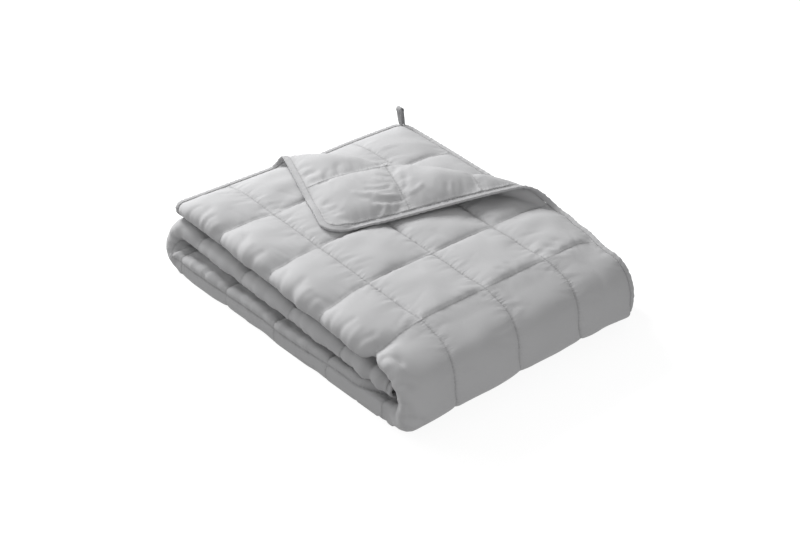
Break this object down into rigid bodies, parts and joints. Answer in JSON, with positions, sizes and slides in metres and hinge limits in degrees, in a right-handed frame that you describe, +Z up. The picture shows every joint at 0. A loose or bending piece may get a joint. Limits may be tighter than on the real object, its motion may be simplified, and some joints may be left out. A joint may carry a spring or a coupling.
{
  "type": "weighted blanket",
  "caption": "Quilted weighted blanket with square stitched pockets, a bound edge and a tie loop at its corner, folded into a flat pile with one corner turned back.",
  "frame": {"origin": "middle of the folded pile's footprint, on the surface it rests on", "axes": "+X along the pile, from the blanket's end edge to the thick fold; +Y from the side folded double to the side with the bound edges; +Z up"},
  "size_m": [0.6607, 0.5465, 0.1691],
  "materials": {
    "quilt_cloth": "matt mid-grey brushed microfibre over soft filling",
    "binding_cloth": "matt mid-grey bias strip, topstitched",
    "loop_tape": "woven grey tape, a shade darker than the cloth"
  },
  "bodies": {
    "root": {"quilt": "quilt_cloth", "binding": "binding_cloth", "corner_loop": "loop_tape"}
  },
  "joints": []
}
